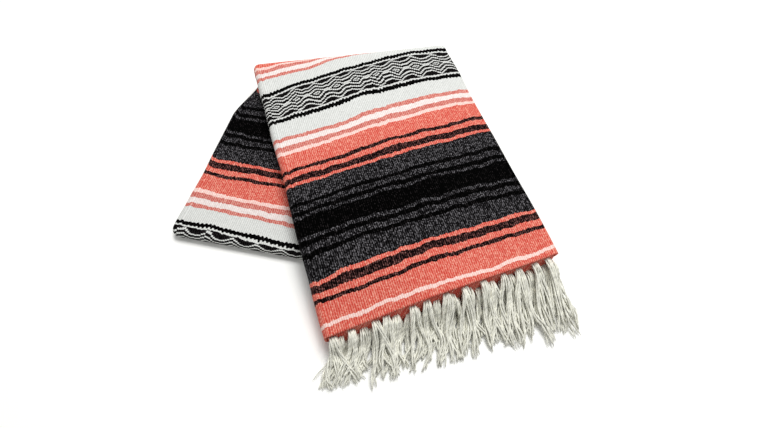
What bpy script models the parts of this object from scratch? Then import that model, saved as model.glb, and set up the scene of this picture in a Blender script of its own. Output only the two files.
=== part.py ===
"""A falsa blanket, folded to a long narrow strip and folded over once, with its fringe.

Metres, +Z up, resting on the plane z = 0.  The blanket is folded in half along its length
and in quarters across, which gives a strip eight layers thick.  That strip is laid down, and
its fringed end is turned back over itself along a slanted line.  The upper run comes forward
from a thick roll at the back to the fringe, and the lower run shows at the left.

Points of the strip are found from two distances.  One is across the strip from its left edge,
the other along it: "reach" counts from the slanted crease towards the front.
"""
import math
import random

import bmesh
import bpy
from mathutils import Vector

# Cloth, and the two stacks of eight layers
STRIP_WIDTH = 0.320
WALL = 0.003
UPPER_STACK = 0.033
LOWER_STACK = 0.026
LAYERS = 8
LAYER_GROOVE = 0.0016

# Clearances: at seams, under the outer cloth, and round its folded-in lips
SEAM_GAP = 0.0003
INNER_CLEARANCE = 0.0008
FAN_CLEARANCE = 0.0008
LIP_CLEARANCE = 0.0015

# Where the strip lies: the left end of the wide black band, and the turn of the upper run
BAND_LEFT_END = Vector((-0.1087, -0.0581))
UPPER_TURN = math.radians(19.9)

# Distances along the strip from the middle of the wide black band.  Those of the crease are for
# an even fold.
CREASE_AT_LEFT = 0.3255
CREASE_AT_RIGHT = 0.2317
FRINGED_END = 0.1357
MIDDLE_FOLD = 0.6250

# The roll lies turned against that even fold: how far each end of it is before the even crease,
# and its depth there, as a share of its half height.  From the roll on, the layers of the lower
# run fan out to the left.
ROLL_AHEAD_LEFT = 0.016
ROLL_AHEAD_RIGHT = -0.007
ROLL_DEPTH_LEFT = 0.75
ROLL_DEPTH_RIGHT = 1.10
LOWER_FAN = 0.006
FAN_LENGTH = 0.070

# How the upper run sinks from the lower stack to the surface
FALL_START = 0.015
FALL_TO_RIGHT = 0.197
FALL_TO_FRONT = 0.143

# The lower stack is pressed down near its covered edges
PRESSED_BY = 0.0025
PRESS_START = 0.060
PRESS_END = 0.030

# The middle fold at the front of the lower run slants back to the right, by this share of the
# distance across.  The pile thins towards it.
FOLD_SLANT = 0.037
THINNED_BY = 0.006
THINNING_LENGTH = 0.140

# Rounded edges: how far each stands out, and how far the outer cloth turns round it
LEFT_BULGE = 0.013
RIGHT_BULGE = 0.008
NOSE_BULGE = 0.013
CREASE_RADIUS = 0.0018
EDGE_TURN = math.radians(160.0)
ROLL_TURN = math.radians(176.0)
CLOTH_SHARE_OF_ROLL = 0.975

# Both edges of the upper run wander.  Columns: distance before the black band, shift of the
# left edge and shift of the right edge, all in millimetres, to the right counted as plus.
EDGE_WANDER = (
    (-304, 5, 3),
    (-245, 4, 3),
    (-185, 3, 3),
    (-150, 2, 1),
    (-110, 2, 1),
    (-60, 0, 3),
    (0, -3, 4),
    (55, -4, 5),
    (93, -6, 4),
    (136, -7, 1),
)

# Divisions of the surfaces
TOP_CELLS = 11
UPPER_CELLS = 13
ROLL_CELLS = 10
LOWER_CELLS = 10
LEFT_BAND_CELLS = 8
RIGHT_BAND_CELLS = 6
NOSE_BAND_CELLS = 8

# Rows of fringe, one above the other.  Columns: node, depth of the row below the upper face,
# reach of its strands before the cut edge, place of its sideways waves, colour.
FRINGE_ROWS = (
    ("fringe_row_1", 0.0017, 0.092, 0.0, (0.71, 0.71, 0.66)),
    ("fringe_row_2", 0.0095, 0.081, 1.9, (0.65, 0.65, 0.60)),
    ("fringe_row_3", 0.0175, 0.070, 3.6, (0.59, 0.59, 0.54)),
    ("fringe_row_4", 0.0255, 0.058, 5.1, (0.53, 0.53, 0.48)),
)
BUNDLES = 19
BUNDLE_MARGIN = 0.013
BACKING_DEPTH = 0.0015
STRAND_WIDTH = 0.0026
STRAND_TIP = 0.0014
STRAND_STEPS = 4
STRAND_HALF_PITCH = 0.0020
STRAND_SPREAD = 0.0016
STRAND_WANDER = 0.0008
REACH_VARIATION = 0.002
REACH_AT_LEFT = 0.76
REACH_AT_RIGHT = 1.14
SPLAY_AT_LEFT = -0.024
TIP_HEIGHT = 0.0015
LEAN = 0.005
LEAN_WAVE = 0.130
FRINGE_SEED = 7

# Colours of the cloth, linear
CORAL = (0.80, 0.24, 0.17)
CHARCOAL = (0.06, 0.055, 0.06)
SHADED_CORAL = (0.45, 0.13, 0.10)

# Directions in plan, and the corners of the crease and of the lower run
TO_FRONT = Vector((math.sin(UPPER_TURN), -math.cos(UPPER_TURN)))
TO_RIGHT = Vector((math.cos(UPPER_TURN), math.sin(UPPER_TURN)))
CREASE_LEFT = BAND_LEFT_END - CREASE_AT_LEFT * TO_FRONT
CREASE_RIGHT = BAND_LEFT_END - CREASE_AT_RIGHT * TO_FRONT + STRIP_WIDTH * TO_RIGHT
AXIS = (CREASE_RIGHT - CREASE_LEFT).normalized()
LOWER_TO_FRONT = TO_FRONT - 2.0 * TO_FRONT.dot(AXIS) * AXIS
LOWER_TO_RIGHT = 2.0 * TO_RIGHT.dot(AXIS) * AXIS - TO_RIGHT
FOLD_AT_RIGHT = MIDDLE_FOLD - FOLD_SLANT * STRIP_WIDTH
LOWER_CORNER = CREASE_RIGHT + (FOLD_AT_RIGHT - CREASE_AT_RIGHT) * LOWER_TO_FRONT
ROLL_LEFT = CREASE_LEFT + ROLL_AHEAD_LEFT * TO_FRONT
ROLL_RIGHT = CREASE_RIGHT + ROLL_AHEAD_RIGHT * TO_FRONT
ROLL_AXIS = (ROLL_RIGHT - ROLL_LEFT).normalized()
BEFORE_ROLL = Vector((ROLL_AXIS.y, -ROLL_AXIS.x))

# The hidden layers: columns from left to right, rows from the fringe round to the front fold,
# and levels from the outer face of the stack to its inner one
INNER_INSET = WALL + INNER_CLEARANCE
INNER_LEFT = LEFT_BULGE + 2.0 * SEAM_GAP
INNER_RIGHT = STRIP_WIDTH - RIGHT_BULGE - 2.0 * SEAM_GAP
INNER_ROWS = UPPER_CELLS + ROLL_CELLS + 1 + LOWER_CELLS
INNER_LEVELS = 2 * LAYERS


def smooth(value):
    """Ease from 0 to 1."""
    value = min(max(value, 0.0), 1.0)
    return value * value * (3.0 - 2.0 * value)


def raised(plan, height=0.0):
    """A plan point or direction, brought to a height."""
    return Vector((plan.x, plan.y, height))


def table_slope(table, index, column):
    """Slope of a table's curve at one of its rows."""
    before = table[max(index - 1, 0)]
    after = table[min(index + 1, len(table) - 1)]
    return (after[column] - before[column]) / (after[0] - before[0])


def table_value(table, column, place):
    """Value of a column at a place, on a smooth curve through the table's rows."""
    place = min(max(place, table[0][0]), table[-1][0])
    index = 0
    while index < len(table) - 2 and place > table[index + 1][0]:
        index += 1
    start, end = table[index], table[index + 1]
    length = end[0] - start[0]
    part = (place - start[0]) / length
    rise = smooth(part)
    leave = part * (1.0 - part) ** 2 * length * table_slope(table, index, column)
    arrive = part ** 2 * (part - 1.0) * length * table_slope(table, index + 1, column)
    return start[column] + rise * (end[column] - start[column]) + leave + arrive


def crease_point(across):
    """Plan point where the upper run leaves the roll."""
    return ROLL_LEFT.lerp(ROLL_RIGHT, across / STRIP_WIDTH)


def crease_station(across):
    """Distance from the black band back to the end of the upper run."""
    left = CREASE_AT_LEFT - ROLL_AHEAD_LEFT
    right = CREASE_AT_RIGHT - ROLL_AHEAD_RIGHT
    return left + across / STRIP_WIDTH * (right - left)


def lower_start(across):
    """Plan point where the lower run leaves the roll, and its distance from the black band."""
    share = across / STRIP_WIDTH
    even = CREASE_LEFT.lerp(CREASE_RIGHT, share)
    ahead = (ROLL_LEFT - even).dot(BEFORE_ROLL) / LOWER_TO_FRONT.dot(BEFORE_ROLL)
    plan = even + ahead * LOWER_TO_FRONT - LOWER_FAN * (1.0 - share) * LOWER_TO_RIGHT
    return plan, CREASE_AT_LEFT + share * (CREASE_AT_RIGHT - CREASE_AT_LEFT) + ahead


def edge_shift(across, station):
    """Shift to the right that the wandering edges give a point of the strip."""
    left = table_value(EDGE_WANDER, 1, station * 1000.0)
    right = table_value(EDGE_WANDER, 2, station * 1000.0)
    share = across / STRIP_WIDTH
    return (left * (1.0 - share) + right * share) / 1000.0


def upper_plan(across, reach):
    """Plan point of the upper run."""
    shift = edge_shift(across, reach - crease_station(across))
    return crease_point(across) + reach * TO_FRONT + shift * TO_RIGHT


def lower_plan(across, reach):
    """Plan point of the lower run: it meets the upper run at the roll, and then goes straight."""
    straight = lower_start(across)[0]
    meeting = upper_plan(across, 0.0)
    return meeting.lerp(straight, smooth(reach / FAN_LENGTH)) + reach * LOWER_TO_FRONT


def beyond_lower(plan):
    """Distances past the lower run's right edge and past its front."""
    past_right = (plan - CREASE_RIGHT).dot(LOWER_TO_RIGHT)
    past_front = (plan - LOWER_CORNER).dot(LOWER_TO_FRONT)
    return past_right, past_front


def underside(plan):
    """Height of the upper run's underside: on the lower stack, then down to the surface."""
    past_right, past_front = beyond_lower(plan)
    right_part = max(past_right + FALL_START, 0.0) / FALL_TO_RIGHT
    front_part = max(past_front + FALL_START, 0.0) / FALL_TO_FRONT
    thinned = THINNED_BY * smooth(1.0 + past_front / THINNING_LENGTH)
    return (LOWER_STACK - thinned) * (1.0 - smooth(math.hypot(right_part, front_part)))


def lower_top(plan):
    """Height of the lower run's upper side, pressed down near its right and front edges."""
    nearest = max(beyond_lower(plan))
    pressed = smooth((nearest + PRESS_START) / (PRESS_START - PRESS_END))
    return underside(plan) - SEAM_GAP - PRESSED_BY * pressed


def upper_faces(across, reach):
    """Outer and inner face of the stack on the upper run."""
    plan = upper_plan(across, reach)
    low = underside(plan)
    return raised(plan, low + UPPER_STACK), raised(plan, low)


def roll_faces(across, turn):
    """Outer and inner face of the stack in the roll at the back."""
    plan = upper_plan(across, 0.0)
    low = underside(plan)
    radius = (low + UPPER_STACK) / 2.0
    depth = ROLL_DEPTH_LEFT + across / STRIP_WIDTH * (ROLL_DEPTH_RIGHT - ROLL_DEPTH_LEFT)
    outer_plan = plan - depth * radius * math.sin(turn) * BEFORE_ROLL
    inner_plan = plan - CREASE_RADIUS * math.sin(turn) * BEFORE_ROLL
    outer = raised(outer_plan, radius + radius * math.cos(turn))
    inner = raised(inner_plan, low - CREASE_RADIUS + CREASE_RADIUS * math.cos(turn))
    return outer, inner


def lower_faces(across, reach):
    """Outer face, on the surface, and inner face, which shows, of the lower run."""
    plan = lower_plan(across, reach)
    return raised(plan), raised(plan, lower_top(plan))


def stack_faces(across, stretch, share):
    """Outer and inner face of the stack, at a share of the length of one stretch."""
    if stretch == "upper":
        return upper_faces(across, share * (crease_station(across) + FRINGED_END))
    if stretch == "roll":
        return roll_faces(across, share * ROLL_TURN)
    start = 2.0 * SEAM_GAP
    length = MIDDLE_FOLD - FOLD_SLANT * across - lower_start(across)[1] - NOSE_BULGE
    return lower_faces(across, start + share * (length - start))


def sideways(across, stretch, share):
    """Level direction to the right, across the strip."""
    step = 0.004
    first = stack_faces(across - step, stretch, share)[0]
    second = stack_faces(across, stretch, share)[0]
    direction = second - first
    direction.z = 0.0
    return direction.normalized()


def rounded_edge(near, far, side, bulge, angle, inset):
    """Point on a rounded edge that turns from the near face to the far one."""
    half = (far - near).length / 2.0
    depth = (far - near).normalized()
    centre = (near + far) / 2.0
    across_depth = (half - inset) * math.cos(angle) * depth
    return centre - across_depth + (bulge - inset) * math.sin(angle) * side


def finish_object(bm, name, collection, colour):
    """Make a named object with its own woven cotton material from a bmesh."""
    mesh = bpy.data.meshes.new(name)
    bm.to_mesh(mesh)
    bm.free()
    mesh.shade_smooth()
    mesh.set_sharp_from_angle(angle=math.radians(50.0))
    material = bpy.data.materials.new(name + "_cotton")
    material.use_nodes = True
    shader = material.node_tree.nodes["Principled BSDF"]
    shader.inputs["Base Color"].default_value = (*colour, 1.0)
    shader.inputs["Roughness"].default_value = 0.92
    shader.inputs["Metallic"].default_value = 0.0
    mesh.materials.append(material)
    piece = bpy.data.objects.new(name, mesh)
    collection.objects.link(piece)
    return piece


def cloth_wall(name, columns, rows, place, top_point, collection, colour):
    """A sheet of cloth: a grid whose points are put in place, then given its thickness."""
    bm = bmesh.new()
    bmesh.ops.create_grid(bm, x_segments=columns, y_segments=rows, size=0.5)
    for vertex in bm.verts:
        column = round((vertex.co.x + 0.5) * columns)
        row = round((vertex.co.y + 0.5) * rows)
        vertex.co = place(column, row)
    bm.normal_update()
    upper = min(bm.faces, key=lambda face: (face.calc_center_median() - top_point).length)
    if upper.normal.z < 0.0:
        bmesh.ops.reverse_faces(bm, faces=bm.faces)
    piece = finish_object(bm, name, collection, colour)
    wall = piece.modifiers.new("cloth_thickness", "SOLIDIFY")
    wall.thickness = WALL
    wall.offset = -1.0
    wall.use_even_offset = True


def outer_station(row):
    """Stretch and share for a row, from the fringed end back to the foot of the roll."""
    if row <= UPPER_CELLS:
        return "upper", 1.0 - row / UPPER_CELLS
    return "roll", (row - UPPER_CELLS) / ROLL_CELLS


def upper_cloth_point(column, row):
    """Point of the cloth over the upper run and the roll: left fold, upper side, right fold."""
    stretch, share = outer_station(row)
    if stretch == "roll":
        share *= CLOTH_SHARE_OF_ROLL
    if column < LEFT_BAND_CELLS:
        near, far = stack_faces(LEFT_BULGE, stretch, share)
        angle = EDGE_TURN * (1.0 - column / LEFT_BAND_CELLS)
        side = -sideways(LEFT_BULGE, stretch, share)
        return rounded_edge(near, far, side, LEFT_BULGE, angle, 0.0)
    right_start = STRIP_WIDTH - RIGHT_BULGE
    top_column = column - LEFT_BAND_CELLS
    if top_column <= TOP_CELLS:
        across = LEFT_BULGE + (right_start - LEFT_BULGE) * top_column / TOP_CELLS
        return stack_faces(across, stretch, share)[0]
    near, far = stack_faces(right_start, stretch, share)
    angle = EDGE_TURN * (top_column - TOP_CELLS) / RIGHT_BAND_CELLS
    side = sideways(right_start, stretch, share)
    return rounded_edge(near, (near + far) / 2.0, side, RIGHT_BULGE, angle, 0.0)


def lower_cloth_point(column, row):
    """Point of the cloth over the lower run: upper side, left edge, front fold and corner."""
    from_left = max(LEFT_BAND_CELLS - column, 0)
    from_nose = max(row - LOWER_CELLS, 0)
    ring = max(from_left, from_nose)
    top_column = max(column - LEFT_BAND_CELLS, 0)
    right_end = STRIP_WIDTH - LAYER_GROOVE
    across = LEFT_BULGE + (right_end - LEFT_BULGE) * top_column / TOP_CELLS
    share = min(row, LOWER_CELLS) / LOWER_CELLS
    far, near = stack_faces(across, "lower", share)
    if ring == 0:
        return near
    bend = 0.0
    if from_left == 0:
        bend = math.pi / 2.0
    elif from_nose > 0:
        step = from_nose if from_left == ring else 2 * ring - from_left
        bend = math.pi / 2.0 * step / (2 * ring)
    to_left = -sideways(across, "lower", share)
    side = math.sin(bend) * raised(LOWER_TO_FRONT) + math.cos(bend) * to_left
    angle = EDGE_TURN * ring / LEFT_BAND_CELLS
    return rounded_edge(near, far, side, LEFT_BULGE, angle, 0.0)


def build_upper_stretch(collection):
    """Outer cloth of the upper run, folded round both edges and carried over the roll."""
    columns = LEFT_BAND_CELLS + TOP_CELLS + RIGHT_BAND_CELLS
    top_point = stack_faces(STRIP_WIDTH / 2.0, "upper", 0.5)[0]
    cloth_wall("upper_stretch", columns, UPPER_CELLS + ROLL_CELLS, upper_cloth_point,
               top_point, collection, CORAL)


def build_lower_stretch(collection):
    """Outer cloth of the lower run: its upper side, left edge and front fold."""
    columns = LEFT_BAND_CELLS + TOP_CELLS
    top_point = stack_faces(STRIP_WIDTH / 2.0, "lower", 0.5)[1]
    cloth_wall("lower_stretch", columns, LOWER_CELLS + NOSE_BAND_CELLS, lower_cloth_point,
               top_point, collection, CHARCOAL)


def inner_station(row):
    """Stretch and share for a row of the hidden layers."""
    if row <= UPPER_CELLS + ROLL_CELLS:
        return outer_station(row)
    return "lower", (row - UPPER_CELLS - ROLL_CELLS - 1) / LOWER_CELLS


def inner_across(column):
    """Distance across the strip of a column of the hidden layers."""
    return INNER_LEFT + (INNER_RIGHT - INNER_LEFT) * column / TOP_CELLS


def inner_face_point(column, row, level):
    """Point on a broad face of the hidden layers, inset where the outer cloth covers it."""
    stretch, share = inner_station(row)
    outer, inner = stack_faces(inner_across(column), stretch, share)
    inset = INNER_INSET * (inner - outer).normalized()
    if level == 0:
        return outer if stretch == "lower" else outer + inset
    return inner - inset if stretch == "lower" else inner


def covered_angle(level, stretch):
    """Turn round a covered edge, or None on the level of the face that the cloth leaves bare."""
    steps = INNER_LEVELS - 1
    if stretch == "lower":
        return None if level == 0 else math.pi - EDGE_TURN * (1.0 - (level - 1) / steps)
    return None if level == INNER_LEVELS else EDGE_TURN * level / steps


def inner_left_point(row, level):
    """Point on the hidden layers' left side, under the cloth that wraps round it."""
    stretch, share = inner_station(row)
    angle = covered_angle(level, stretch)
    if angle is None:
        return inner_face_point(0, row, level)
    outer, inner = stack_faces(LEFT_BULGE, stretch, share)
    side = -sideways(LEFT_BULGE, stretch, share)
    inset = INNER_INSET + FAN_CLEARANCE if stretch == "lower" else INNER_INSET
    return rounded_edge(outer, inner, side, LEFT_BULGE, angle, inset)


def inner_nose_point(column, level):
    """Point on the hidden layers' front fold, at the end of the lower run."""
    angle = covered_angle(level, "lower")
    if angle is None:
        inside = 2.0 * SEAM_GAP * raised(LOWER_TO_FRONT)
        return inner_face_point(column, INNER_ROWS, level) - inside
    side = raised(LOWER_TO_FRONT)
    across = inner_across(column)
    if column == 0:
        side = (side - raised(LOWER_TO_RIGHT)).normalized()
        across = LEFT_BULGE
    outer, inner = stack_faces(across, "lower", 1.0)
    return rounded_edge(outer, inner, side, NOSE_BULGE, angle, INNER_INSET)


def groove(level):
    """How far a layered edge stands out at a level: layers out, the lines between them in."""
    return 0.0 if level % 2 else -LAYER_GROOVE


def inner_right_point(row, level):
    """Point on the right side: a covered fold on the outer half, bare layers on the rest."""
    stretch, share = inner_station(row)
    start = STRIP_WIDTH - RIGHT_BULGE
    outer, inner = stack_faces(start, stretch, share)
    side = sideways(start, stretch, share)
    if stretch == "lower":
        top = inner - Vector((0.0, 0.0, INNER_INSET))
        return outer.lerp(top, level / INNER_LEVELS) + (RIGHT_BULGE + groove(level)) * side
    half = INNER_LEVELS // 2
    middle = (outer + inner) / 2.0
    if level < half - 1:
        angle = EDGE_TURN * level / (half - 2)
        return rounded_edge(outer, middle, side, RIGHT_BULGE, angle, INNER_INSET)
    under_lip = middle + SEAM_GAP * (inner - outer).normalized()
    if level == half - 1:
        return under_lip - LIP_CLEARANCE * side
    spot = under_lip.lerp(inner, (level - half) / half)
    return spot + (RIGHT_BULGE + groove(level)) * side


def inner_front_point(column, level):
    """Point on the fringed end of the hidden layers, with a groove between each two."""
    outer, inner = stack_faces(inner_across(column), "upper", 1.0)
    top = outer - Vector((0.0, 0.0, INNER_INSET))
    return top.lerp(inner, level / INNER_LEVELS) + groove(level) * raised(TO_FRONT)


def inner_point(column, row, level):
    """Point of the skin of the hidden layers."""
    between = 0 < level < INNER_LEVELS
    at_nose = row == INNER_ROWS and column < TOP_CELLS
    if at_nose and (column == 0 or between):
        return inner_nose_point(column, level)
    if column == 0:
        return inner_left_point(row, level)
    if column == TOP_CELLS:
        return inner_right_point(row, level)
    if row == 0 and between:
        return inner_front_point(column, level)
    return inner_face_point(column, row, level)


def build_inner_layers(collection):
    """The hidden layers as one rounded body, lofted from the fringed end to the front fold."""
    bm = bmesh.new()
    corners = {}

    def corner(place):
        if place not in corners:
            corners[place] = bm.verts.new(inner_point(*place))
        return corners[place]

    def skin(first_cells, second_cells, place):
        for first in range(first_cells):
            for second in range(second_cells):
                around = ((0, 0), (1, 0), (1, 1), (0, 1))
                bm.faces.new([corner(place(first + a, second + b)) for a, b in around])

    for level in (0, INNER_LEVELS):
        skin(TOP_CELLS, INNER_ROWS, lambda column, row: (column, row, level))
    for row in (0, INNER_ROWS):
        skin(TOP_CELLS, INNER_LEVELS, lambda column, level: (column, row, level))
    for column in (0, TOP_CELLS):
        skin(INNER_ROWS, INNER_LEVELS, lambda row, level: (column, row, level))
    bmesh.ops.recalc_face_normals(bm, faces=bm.faces)
    finish_object(bm, "inner_layers", collection, SHADED_CORAL)


def fringe_root(across, depth):
    """Place of a strand's root, just before the cut edge of the upper run."""
    top = stack_faces(across, "upper", 1.0)[0]
    return top - Vector((0.0, 0.0, depth)) + (SEAM_GAP + BACKING_DEPTH) * raised(TO_FRONT)


def strand_roots():
    """Distances across the strip of all roots in a row, each with its side in its bundle."""
    roots = []
    free_width = STRIP_WIDTH - 2.0 * BUNDLE_MARGIN
    for bundle in range(BUNDLES):
        middle = BUNDLE_MARGIN + free_width * bundle / (BUNDLES - 1)
        roots.append((middle - STRAND_HALF_PITCH, -1.0))
        roots.append((middle + STRAND_HALF_PITCH, 1.0))
    return roots


def backing_strip(bm, roots, depth):
    """The strip that holds a row's roots.  Returns its front faces from left to right."""
    edges = [roots[0][0] - STRAND_WIDTH]
    for across, _ in roots:
        edges.extend((across - STRAND_WIDTH / 2.0, across + STRAND_WIDTH / 2.0))
    edges.append(roots[-1][0] + STRAND_WIDTH)
    cells = len(edges) - 1

    bmesh.ops.create_cube(bm, size=1.0)
    long_edges = [edge for edge in bm.edges if abs(edge.verts[0].co.x - edge.verts[1].co.x) > 0.5]
    bmesh.ops.subdivide_edges(bm, edges=long_edges, cuts=cells - 1, use_grid_fill=True)
    for vertex in bm.verts:
        index = round((vertex.co.x + 0.5) * cells)
        place = fringe_root(edges[index], depth)
        if vertex.co.y > 0.0:
            place -= BACKING_DEPTH * raised(TO_FRONT)
        place.z += math.copysign(STRAND_WIDTH / 2.0, vertex.co.z)
        vertex.co = place
    bm.normal_update()
    fronts = [face for face in bm.faces if face.normal.dot(raised(TO_FRONT)) > 0.9]
    fronts.sort(key=lambda face: face.calc_center_median().dot(raised(TO_RIGHT)))
    return fronts


def grow_strand(bm, face, root, reach, drift):
    """Extrude a strand from a face of the backing, out and down to just above the surface."""
    for step in range(1, STRAND_STEPS + 1):
        share = step / STRAND_STEPS
        half_width = (STRAND_WIDTH + share * (STRAND_TIP - STRAND_WIDTH)) / 2.0
        centre = root + share * reach * raised(TO_FRONT) + drift(share) * raised(TO_RIGHT)
        centre.z = TIP_HEIGHT + (root.z - TIP_HEIGHT) * (1.0 - share * share)
        face = bmesh.ops.extrude_discrete_faces(bm, faces=[face])["faces"][0]
        middle = face.calc_center_median()
        for vertex in face.verts:
            offset = vertex.co - middle
            to_side = math.copysign(half_width, offset.dot(raised(TO_RIGHT)))
            vertex.co = centre + to_side * raised(TO_RIGHT)
            vertex.co.z += math.copysign(half_width, offset.z)


def build_fringe_row(name, depth, row_reach, wave_place, colour, collection, chance):
    """One row of fringe: a narrow backing strip with a pair of strands for each bundle."""
    bm = bmesh.new()
    roots = strand_roots()
    fronts = backing_strip(bm, roots, depth)
    for index, (across, side) in enumerate(roots):
        share = across / STRIP_WIDTH
        reach = row_reach * (REACH_AT_LEFT + share * (REACH_AT_RIGHT - REACH_AT_LEFT))
        reach += chance.uniform(-REACH_VARIATION, REACH_VARIATION)
        wander = chance.uniform(-STRAND_WANDER, STRAND_WANDER)
        lean = LEAN * math.sin(2.0 * math.pi * across / LEAN_WAVE + wave_place)
        lean += SPLAY_AT_LEFT * (1.0 - share)

        def drift(share):
            sway = side * STRAND_SPREAD + wander * math.sin(2.0 * math.pi * share)
            return share * (sway + share * lean)

        grow_strand(bm, fronts[2 * index + 1], fringe_root(across, depth), reach, drift)
    bmesh.ops.recalc_face_normals(bm, faces=bm.faces)
    finish_object(bm, name, collection, colour)


def main():
    """Build the blanket in an empty scene."""
    for old in list(bpy.data.objects):
        bpy.data.objects.remove(old, do_unlink=True)
    collection = bpy.data.collections.new("falsa_blanket")
    bpy.context.scene.collection.children.link(collection)
    build_upper_stretch(collection)
    build_lower_stretch(collection)
    build_inner_layers(collection)
    chance = random.Random(FRINGE_SEED)
    for name, depth, reach, wave_place, colour in FRINGE_ROWS:
        build_fringe_row(name, depth, reach, wave_place, colour, collection, chance)


main()
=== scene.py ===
"""Looks of the folded falsa blanket: woven cloth, layered folds, yarn fringe, floor and light.

The blanket is eight layers of cloth, folded to a strip and folded over once on a slanted line.
A place on the strip has two distances.  "Across" runs from its left edge.  "Station" runs along
it from the middle of the wide black band, counted as plus towards the fringe.  The cloth's UV map
holds both in metres, so the stripes follow the cloth round every fold.
"""
import math
import random
from functools import partial

import bmesh
import bpy
from bpy.props import FloatProperty, FloatVectorProperty, IntProperty, PointerProperty
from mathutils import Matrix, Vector, noise


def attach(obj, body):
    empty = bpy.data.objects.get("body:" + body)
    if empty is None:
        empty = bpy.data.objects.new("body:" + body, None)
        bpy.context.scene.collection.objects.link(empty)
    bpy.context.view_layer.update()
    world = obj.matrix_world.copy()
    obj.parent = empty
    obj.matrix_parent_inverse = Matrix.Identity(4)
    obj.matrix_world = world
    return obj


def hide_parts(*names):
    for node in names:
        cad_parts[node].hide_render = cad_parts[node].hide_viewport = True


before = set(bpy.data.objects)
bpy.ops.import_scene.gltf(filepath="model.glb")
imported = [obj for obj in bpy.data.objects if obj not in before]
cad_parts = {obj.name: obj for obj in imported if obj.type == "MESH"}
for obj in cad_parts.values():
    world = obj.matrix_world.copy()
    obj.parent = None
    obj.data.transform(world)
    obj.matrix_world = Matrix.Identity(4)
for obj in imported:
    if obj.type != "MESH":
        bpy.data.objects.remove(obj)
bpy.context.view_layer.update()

bl_info = {
    "name": "Folded falsa blanket",
    "version": (1, 0, 0),
    "blender": (4, 5, 0),
    "location": "3D View > Sidebar > Blanket",
    "description": "Builds the cloth, the layered folds, the fringe and the studio of a folded blanket",
    "category": "Object",
}

# Cloth and its two stacks of eight layers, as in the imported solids
STRIP_WIDTH = 0.320
UPPER_STACK = 0.033
LOWER_STACK = 0.026
LAYERS = 8
SEAM_GAP = 0.0003

# Where the strip lies: the left end of the wide black band, and the turn of the upper run
BAND_LEFT_END = Vector((-0.1087, -0.0581))
UPPER_TURN = math.radians(19.9)

# Distances along the strip from the middle of the wide black band.  Those of the crease are for
# an even fold.
CREASE_AT_LEFT = 0.3255
CREASE_AT_RIGHT = 0.2317
FRINGED_END = 0.1357
MIDDLE_FOLD = 0.6250

# The roll lies turned against that even fold: how far each end of it is before the even crease,
# and its depth there, as a share of its half height.  From the roll on, the layers of the lower
# run fan out to the left.
ROLL_AHEAD_LEFT = 0.016
ROLL_AHEAD_RIGHT = -0.007
ROLL_DEPTH_LEFT = 0.75
ROLL_DEPTH_RIGHT = 1.10
LOWER_FAN = 0.006
FAN_LENGTH = 0.070

# How the upper run sinks from the lower stack to the surface, and where that stack is pressed
FALL_START = 0.015
FALL_TO_RIGHT = 0.197
FALL_TO_FRONT = 0.143
PRESSED_BY = 0.0025
PRESS_START = 0.060
PRESS_END = 0.030

# The middle fold at the front of the lower run slants back to the right, by this share of the
# distance across, and its left corner flares out a little.  The pile thins towards it.
FOLD_SLANT = 0.037
CORNER_FLARE = 0.008
FLARE_LENGTH = 0.100
FLARE_WIDTH = 0.180
THINNED_BY = 0.006
THINNING_LENGTH = 0.140

# Rounded edges
LEFT_BULGE = 0.013
RIGHT_BULGE = 0.008
NOSE_BULGE = 0.013
CREASE_RADIUS = 0.0018
EDGE_TURN = math.radians(160.0)
ROLL_TURN = math.radians(176.0)
EDGE_CRISPNESS = 0.70

# Both edges of the upper run wander.  Columns: station, shift of the left edge and shift of the
# right edge, all in millimetres, to the right counted as plus.
EDGE_WANDER = (
    (-304, 5, 3),
    (-245, 4, 3),
    (-185, 3, 3),
    (-150, 2, 1),
    (-110, 2, 1),
    (-60, 0, 3),
    (0, -3, 4),
    (55, -4, 5),
    (93, -6, 4),
    (136, -7, 1),
)

# The weft lines bow a little.  Columns: station, then how far its line lies towards the fringe
# at the left edge, at one, two and three quarters of the width and at the right edge, in mm.
WEFT_DRIFT = (
    (-640, 10, 10, 9, 9, 9),
    (-610, 10, 10, 9, 9, 9),
    (-570, 0, 1, 1, 1, 1),
    (-420, 0, 0, 0, 0, 0),
    (-326, 2, 2, -3, -3, 0),
    (-279, 3, 1, -7, -7, 2),
    (-244, 4, -6, -12, -10, 3),
    (-184, 0, -3, -10, -6, 0),
    (-150, 0, 0, -6, -4, 1),
    (-125, 0, 0, -3, -3, -2),
    (-93, 2, 0, -4, 0, -4),
    (-69, 0, -1, -1, 0, -4),
    (-16, -4, -6, -3, -2, -4),
    (16, -4, -6, -2, -2, -1),
    (69, 1, -2, -2, -1, 0),
    (93, -1, 1, -1, -1, 0),
    (125, -3, -3, -2, 2, 0),
    (136, -3, -3, -2, 0, 0),
)

# Directions in plan, and the corners of the crease and of the lower run
TO_FRONT = Vector((math.sin(UPPER_TURN), -math.cos(UPPER_TURN)))
TO_RIGHT = Vector((math.cos(UPPER_TURN), math.sin(UPPER_TURN)))
CREASE_LEFT = BAND_LEFT_END - CREASE_AT_LEFT * TO_FRONT
CREASE_RIGHT = BAND_LEFT_END - CREASE_AT_RIGHT * TO_FRONT + STRIP_WIDTH * TO_RIGHT
AXIS = (CREASE_RIGHT - CREASE_LEFT).normalized()
LOWER_TO_FRONT = TO_FRONT - 2.0 * TO_FRONT.dot(AXIS) * AXIS
LOWER_TO_RIGHT = 2.0 * TO_RIGHT.dot(AXIS) * AXIS - TO_RIGHT
FOLD_AT_RIGHT = MIDDLE_FOLD - FOLD_SLANT * STRIP_WIDTH
LOWER_CORNER = CREASE_RIGHT + (FOLD_AT_RIGHT - CREASE_AT_RIGHT) * LOWER_TO_FRONT
ROLL_LEFT = CREASE_LEFT + ROLL_AHEAD_LEFT * TO_FRONT
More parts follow.
